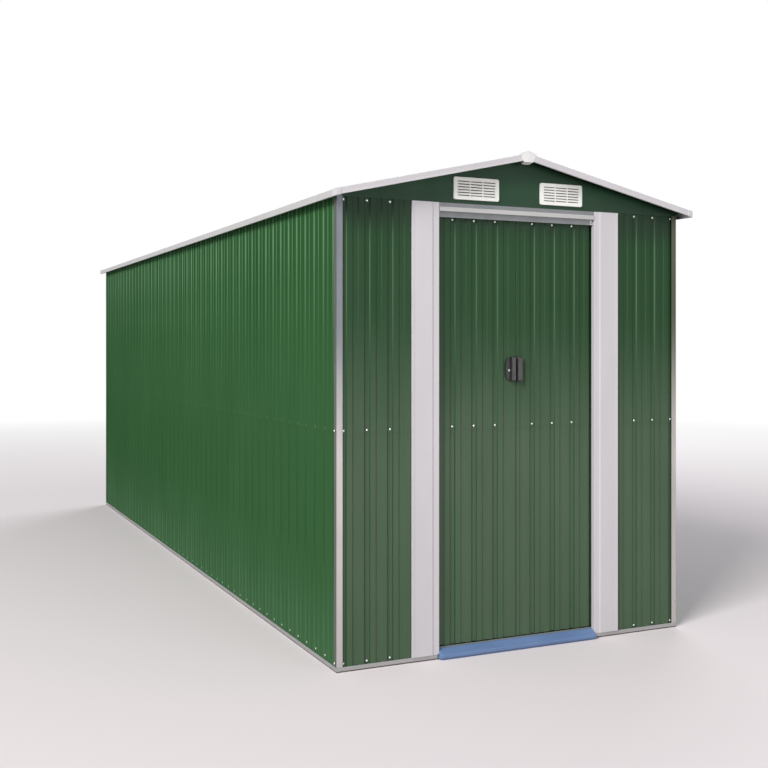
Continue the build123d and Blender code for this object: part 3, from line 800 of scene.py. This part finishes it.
def mirroredForm(centre, side, halfFaces, wholeFaces=()):
    # Points in the middle plane, then one side's. Half faces are mirrored, whole ones cross the middle
    points = [(0.0, y, z) for y, z in centre]
    points += [(sign * x, y, z) for sign in (1, -1) for x, y, z in side]

    def mirrored(face):
        return tuple(index if index < len(centre) else index + len(side) for index in reversed(face))

    faces = list(halfFaces) + [mirrored(face) for face in halfFaces]
    for face in wholeFaces:
        faces.append(tuple(face) + mirrored([index for index in face if index >= len(centre)]))
    return points, faces


def makeEndCaps():
    c = endCap
    plateBack = -shed["vergeReach"] - shed["clear"]
    front = plateBack - c["thickness"] + c["inset"]
    side = front + c["fold"]
    leanBack = front + c["lean"]
    top = shed["ridgeTop"] + c["rise"]
    bottom = top - c["height"]
    shoulder, cheek = top - c["shoulderDrop"], top - c["cheekDrop"]
    chin = ridgeLine(c["chin"], trims["height"] + c["chinGap"])
    plate = mirroredForm(
        [(front, top), (front, chin), (leanBack, bottom), (leanBack, chin), (plateBack, top)],
        [(c["shoulder"], side, shoulder), (c["cheek"], side, cheek), (c["chin"], side, chin),
         (c["chin"] * c["chinTaper"], leanBack, bottom + c["chinLift"]), (c["chin"], leanBack, chin),
         (c["shoulder"], plateBack, shoulder), (c["cheek"], plateBack, cheek), (c["chin"], plateBack, chin)],
        [(0, 1, 7, 6, 5), (1, 2, 8, 7), (0, 5, 10, 4), (5, 6, 11, 10), (6, 7, 12, 11), (7, 8, 9, 12),
         (8, 2, 3, 9)],
        [(4, 10, 11, 12), (12, 9, 3)])
    hoodFront, hoodBack = plateBack - c["hoodLap"], front + c["hood"]
    seat, flareSeat, ridgeSeat = (ridgeLine(x, -c["seat"]) for x in (c["shoulder"], c["flare"], 0.0))
    hood = mirroredForm(
        [(hoodFront, top), (hoodFront, ridgeSeat), (hoodBack, top), (hoodBack, ridgeSeat)],
        [(c["shoulder"], hoodFront, shoulder), (c["shoulder"], hoodFront, seat),
         (c["flare"], hoodBack, top - c["flareDrop"]), (c["flare"], hoodBack, flareSeat)],
        [(0, 4, 5, 1), (2, 3, 7, 6), (0, 2, 6, 4), (4, 6, 7, 5), (5, 7, 3, 1)])
    shape = newShape()
    for turn in fromFront.values():
        for points, faces in (plate, hood):
            addFaces(shape, turn, *softened(points, faces, c["round"], angle=c["softAngle"]))
    replaceNode("ridge_end_caps", "ridge_caps", shape, sharp=c["creaseAngle"])
    print("ridge caps made")


# Vents
vents = {"width": 0.236, "height": 0.102, "thick": 0.008, "corner": 0.009, "place": 0.229, "rim": 0.0016,
         "rimCurve": ((0.0, 1.0), (0.3, 0.35), (1.0, 0.0)), "slotWidth": 0.0622, "slotHeight": 0.0042,
         "slotRound": 0.0005, "rowPitch": 0.0127, "rows": 6, "columnPitch": 0.0667, "columns": 3,
         "barInset": 0.0004, "shadeDepth": 0.001, "bladeBack": 0.0012, "bladeInset": 0.0006,
         "bladeRise": 0.0012, "bladeFall": 0.001, "bladeFoot": 0.0008}


def addVent(shape, place):
    v = vents
    halfWidth = ((v["columns"] - 1) * v["columnPitch"] + v["slotWidth"]) / 2
    halfHeight = ((v["rows"] - 1) * v["rowPitch"] + v["slotHeight"]) / 2
    front = -v["thick"]
    inner = [(max(-halfWidth, min(halfWidth, x)), max(-halfHeight, min(halfHeight, z)))
             for x, z in roundedRect(2 * halfWidth, 2 * halfHeight, v["slotRound"])]
    loops = [(roundedRect(v["width"], v["height"], v["corner"]), 0.0)]
    for share, depth in v["rimCurve"]:
        cut = share * v["rim"]
        outline = roundedRect(v["width"] - 2 * cut, v["height"] - 2 * cut, v["corner"] - cut)
        loops.append((outline, front + depth * v["rim"]))
    loops += [(inner, front), (inner, 0.0)]
    points = [(x, y, z) for loop, y in loops for x, z in loop]
    addFaces(shape, place, points, ringFaces(len(loops), len(inner)))
    halfBar = (v["columnPitch"] - v["slotWidth"]) / 2
    for column in range(v["columns"] - 1):
        x = (column - (v["columns"] - 2) / 2) * v["columnPitch"]
        addPrism(shape, place, rectangle(x - halfBar, -halfHeight, x + halfBar, halfHeight),
                 front + v["barInset"], -v["shadeDepth"], v["barInset"], 1)
    halfBlade = (v["rowPitch"] - v["slotHeight"]) / 2
    for row in range(v["rows"] - 1):  # sloping louvre blades between the slots
        z = (row - (v["rows"] - 2) / 2) * v["rowPitch"]
        section = [(-v["bladeBack"], z + halfBlade + v["bladeRise"]),
                   (front + v["bladeInset"], z + halfBlade - v["bladeFall"]),
                   (front + v["bladeInset"], z - halfBlade),
                   (-v["bladeBack"], z - halfBlade + v["bladeFoot"])]
        addBand(shape, place, [[(x, y, level) for y, level in section] for x in (-halfWidth, halfWidth)])
    shade = rectangle(-halfWidth, -halfHeight, halfWidth, halfHeight)
    addFaces(shape, place, [(x, -v["shadeDepth"], z) for x, z in shade], [(0, 1, 2, 3)], 1)


def makeVents():
    low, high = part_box("front_vents")
    level = (low.z + high.z) / 2
    for side, turn in fromFront.items():
        shape = newShape()
        for x in (-vents["place"], vents["place"]):
            addVent(shape, turn @ Matrix.Translation((x, high.y, level)))
        replaceNode(side + "_vents", side + "_vents_louvred", shape, ("", "ventShade"))
    print("vents made")


# Handles: a grip is its two edges along the wall and the rounding of its edges
handles = {"level": 1.295, "height": 0.116, "plate": 0.0035, "plateHeight": 0.108, "plateEdge": 0.0010,
           "leftPlate": (-0.012, -0.060), "rightPlate": (0.006, 0.030), "flat": 0.34, "curveAcross": 0.62,
           "curveUp": 0.75, "curveSteps": 9, "rimWidth": 0.0034, "rimRise": 0.0035, "rimSink": 0.0006,
           "rimTaper": 0.3, "rimCentre": -0.030, "gripDepth": 0.021, "gripRound": 0.012, "gripSteps": 6,
           "leftGrip": (-0.012, -0.034, 0.0035), "rightGrip": (-0.002, 0.027, 0.0070),
           "edgeSteps": 3, "screwPlace": (-0.0405, -0.006), "screwSize": 0.95, "creaseAngle": 50.0}


def dOutline(near, reach, height):  # straight on the seam side, a flattened half round on the other
    h = handles
    points = [(near, -height / 2), (near, height / 2)]
    for step in range(h["curveSteps"] + 1):
        angle = math.pi / 2 - math.pi * step / h["curveSteps"]
        c, s = math.cos(angle), math.sin(angle)
        across = h["flat"] + (1 - h["flat"]) * math.copysign(abs(c) ** h["curveAcross"], c)
        up = math.copysign(abs(s) ** h["curveUp"], s)
        points.append((near + (reach - near) * across, height / 2 * up))
    return points


def addGrip(shape, place, near, far, edge):
    h = handles
    half = h["height"] / 2
    section = [(0.0, -half), (-h["gripDepth"], -half), (-h["gripDepth"], half), (0.0, half)]
    outline = rounded(section, h["gripRound"], h["gripSteps"])
    points = [(x, p.x, p.y) for x in (near, far) for p in outline]
    faces = prismFaces(len(outline))
    addFaces(shape, place, *softened(points, faces, edge, h["edgeSteps"], h["creaseAngle"]))


def addRim(shape, place, outline):  # raised rim along the plate's curved edge
    h = handles
    centre = Vector((h["rimCentre"], 0.0))
    profile = [(0.0, h["rimSink"]), (h["rimTaper"], -h["rimRise"]), (1 - h["rimTaper"], -h["rimRise"]),
               (1.0, h["rimSink"])]
    rings = []
    for edge in outline:
        inward = (centre - Vector(edge)).normalized() * h["rimWidth"]
        rings.append([(edge[0] + inward.x * share, -h["plate"] + y, edge[1] + inward.y * share)
                      for share, y in profile])
    addBand(shape, place, rings)


def makeHandles():
    h = handles
    face = -shed["halfDepth"] + doors["face"] - shed["clear"]
    place = Matrix.Translation((0.0, face, h["level"]))
    left = newShape()
    outline = dOutline(*h["leftPlate"], h["plateHeight"])
    # the plate takes the painted shade of the recess
    addPrism(left, place, outline, -h["plate"], 0.0, h["plateEdge"], tone=1)
    addRim(left, place, outline[2:])
    addGrip(left, place, *h["leftGrip"])
    replaceNode("left_door_handle", "left_handle", left, ("", "recessShade"), h["creaseAngle"])
    right = newShape()
    addPrism(right, place, dOutline(*h["rightPlate"], h["height"]), -h["plate"], 0.0, h["plateEdge"])
    addGrip(right, place, *h["rightGrip"])
    replaceNode("right_door_handle", "right_handle", right, sharp=h["creaseAngle"])
    x, z = h["screwPlace"]
    shape = newShape()
    addScrew(shape, place @ Matrix.Translation((x, -h["plate"], z)) @ Matrix.Scale(h["screwSize"], 4))
    finishScrews("handle_screw", shape, "left_leaf")
    print("handles made")


# Screws with a sealing washer, in the floors of the deep grooves
screw = {"steps": 14, "profile": [  # radius, height and tone of each ring
    (0.0082, 0.0, 1), (0.0080, 0.0010, 1), (0.0054, 0.0013, 1), (0.0050, 0.0013, 0), (0.0050, 0.0021, 0),
    (0.0042, 0.0033, 0), (0.0024, 0.0040, 0), (0.0012, 0.0040, 0), (0.0010, 0.0030, 1)]}
screwRows = {"side": (0.038, 1.038), "front": (0.034, 1.037, 2.036), "door": (1.037, 1.976), "leafCount": 3,
             "post": 0.018}


def addScrew(shape, place):  # the place's y points into the sheet
    steps, profile = screw["steps"], screw["profile"]
    turns = [2 * math.pi * step / steps for step in range(steps)]
    points = [(radius * math.cos(turn), -height, radius * math.sin(turn))
              for radius, height, tone in profile for turn in turns]
    hub = len(points)
    points.append((0.0, -profile[-1][1], 0.0))
    faces = ringFaces(len(profile), steps)
    faces += [(hub - steps + index, hub - steps + (index + 1) % steps, hub) for index in range(steps)]
    tones = [tone for radius, height, tone in profile[1:] + profile[-1:] for turn in turns]
    addFaces(shape, place, points, faces, tones)


def addScrewRow(shape, place, centres, levels, skin):
    for centre in centres:
        for level in levels:
            lap = shed["lapStep"] if level < shed["lapLevel"] - shed["lapHalf"] else 0.0
            turn = Matrix.Rotation(rng.uniform(0, 1.0), 4, "Y")
            addScrew(shape, place @ Matrix.Translation((centre, skin + lap + ribs["deep"], level)) @ turn)


def deepCentres(start, end, deepPlace, pitch):
    return [centre for centre, deep in grooveCentres(start, end, deepPlace, pitch) if deep]


def finishScrews(name, shape, body="shell", finish=("screw", "washer")):
    finishPiece(name, shape, body, "galvanised_steel", finish)


def makeScrews():
    skin = shed["upperSkin"]
    for side, flip in fromLeft.items():
        centres = deepCentres(skin, wallDepth - skin, wallDepth - sideWall["firstGroove"], sidePitch)[:-1]
        place = flip @ wallPlace("left")
        low, lap = screwRows["side"]
        shape = newShape()
        addScrewRow(shape, place, centres, (low,), skin)
        for level in screwRows["side"]:
            for along in (screwRows["post"], wallDepth - screwRows["post"]):
                addScrew(shape, place @ Matrix.Translation((along, 0.0, level)))
        finishScrews(side + "_wall_screws", shape)
        shape = newShape()
        addScrewRow(shape, place, centres, (lap,), skin)
        finishScrews(side + "_lap_screws", shape, finish=("paintedScrew", "paintedScrew"))
    shape = newShape()
    for side, flip in fromLeft.items():
        centres = deepCentres(0.0, jamb["outer"], frontPanel[side + "Groove"], frontPanel["pitch"])
        addScrewRow(shape, flip @ wallPlace("front"), centres, screwRows["front"], skin)
    finishScrews("front_screws", shape)
    shape = newShape()
    centres = deepCentres(0.0, wallWidth, backWall["firstGroove"], backPitch)
    addScrewRow(shape, wallPlace("back"), centres, screwRows["front"], skin)
    finishScrews("back_screws", shape)
    for side in ("left", "right"):
        low, high = frontBox(side + "_door")
        centres = deepCentres(low.x, high.x, low.x + doors["deep"][side], doors["pitch"])
        shown = screwRows["leafCount"]
        centres = centres[-shown:] if side == "left" else centres[:shown]
        shape = newShape()
        addScrewRow(shape, wallPlace("front"), centres, screwRows["door"], doors["face"])
        finishScrews(side + "_door_screws", shape, side + "_leaf")
    print("screws made")


def dressNodes():
    special = {"front_gable": "gableGreen", "back_gable": "gableGreen", "sill_track": "sillSteel"}
    for name, obj in nodes.items():
        obj.data.materials.clear()
        obj.data.materials.append(finishes[special.get(name, slots[name])])
    print("dressed", len(nodes), "nodes")


# Studio
floor = {"half": 60.0, "color": (0.800, 0.745, 0.750, 1.0), "bounce": (0.42, 0.41, 0.41, 1.0), "rough": 0.9,
         "gloss": 0.1, "fade": (4.0, 14.0)}
sky = {"color": (0.92, 0.95, 1.0, 1.0), "strength": 0.33}
lamps = {  # place, aim, size, power and colour
    "keyLamp": ((-13.9, -10.38, 11.9), (0.0, -1.0, 1.0), (7.5, 7.5), 3650.0, (1.0, 0.985, 0.985)),
    "fillLamp": ((2.5, -11.0, 1.6), (0.0, -2.7, 1.2), (6.0, 2.5), 230.0, (1.0, 0.985, 0.985)),
    "sideLamp": ((-14.0, 4.0, 2.5), (-0.95, 1.0, 1.0), (6.0, 3.0), 150.0, (1.0, 1.0, 0.99)),
    "backLamp": ((8.0, 9.0, 8.0), (0.0, 1.0, 1.0), (8.0, 6.0), 700.0, (0.95, 0.97, 1.0)),
}
view = {"place": (-2.6561, -6.9729, 1.4066), "turn": 24.683, "lens": 50.50, "sensor": 36.0, "shift": -0.0507}


def whiteRays(tree):  # rays that see the plain white surroundings
    rays = addNode(tree, "LightPath")
    total = rays.outputs["Is Camera Ray"]
    for name in ("Is Glossy Ray", "Is Transmission Ray"):
        total = combine(tree, "MAXIMUM", total, rays.outputs[name])
    return total


def makeFloor():
    half = floor["half"]
    mesh = bpy.data.meshes.new("floor")
    mesh.from_pydata([(x, y, 0.0) for x, y in rectangle(-half, -half, half, half)], [], [(0, 1, 2, 3)])
    material, tree, shader = newMaterial("floorPaper")
    seen = whiteRays(tree)
    feed(tree, shader, {"Base Color": mixed(tree, seen, floor["bounce"], floor["color"]),
                        "Roughness": floor["rough"], "Specular IOR Level": floor["gloss"]})
    distance = addNode(tree, "VectorMath", {0: objectPoint(tree)}, operation="LENGTH")
    fade = spread(tree, distance.outputs["Value"], (0.0, 1.0), floor["fade"])
    white = addNode(tree, "Emission", {"Strength": 1.0})
    blend(tree, combine(tree, "MULTIPLY", fade, seen), shader, white, "Material Output")
    mesh.materials.append(material)
    linked("floor", mesh)
    print("floor laid")


def makeWorld():
    world = bpy.data.worlds.new("studio")
    world.use_nodes = True
    bpy.context.scene.world = world
    tree = world.node_tree
    background = tree.nodes["Background"]
    feed(tree, background, {"Color": sky["color"], "Strength": sky["strength"]})
    white = addNode(tree, "Background", {"Color": (1.0, 1.0, 1.0, 1.0), "Strength": 1.0})
    blend(tree, whiteRays(tree), background, white, "World Output")
    print("background set")


def makeLights():
    for name, (place, aim, size, power, color) in lamps.items():
        lamp = bpy.data.lights.new(name, "AREA")
        lamp.shape = "RECTANGLE"
        lamp.size, lamp.size_y = size
        lamp.energy = power
        lamp.color = color
        obj = linked(name, lamp)
        obj.location = place
        obj.rotation_euler = (Vector(aim) - Vector(place)).to_track_quat("-Z", "Y").to_euler()
    print("lights set")


def makeCamera():
    camera = bpy.data.cameras.new("camera")
    camera.lens = view["lens"]
    camera.sensor_width = view["sensor"]
    camera.shift_y = view["shift"]
    obj = linked("camera", camera)
    obj.location = view["place"]
    obj.rotation_euler = (math.radians(90.0), 0.0, math.radians(-view["turn"]))
    bpy.context.scene.camera = obj
    bpy.context.scene.view_settings.view_transform = "Standard"
    print("camera placed")


dressNodes()
makeWalls()
makeDoors()
makePosts()
makeBaseRails()
makeJambs()
makeHeader()
makeThreshold()
makeRoof()
makeTrims()
makeCornerCaps()
makeEndCaps()
makeVents()
makeHandles()
makeScrews()
makeFloor()
makeWorld()
makeLights()
makeCamera()
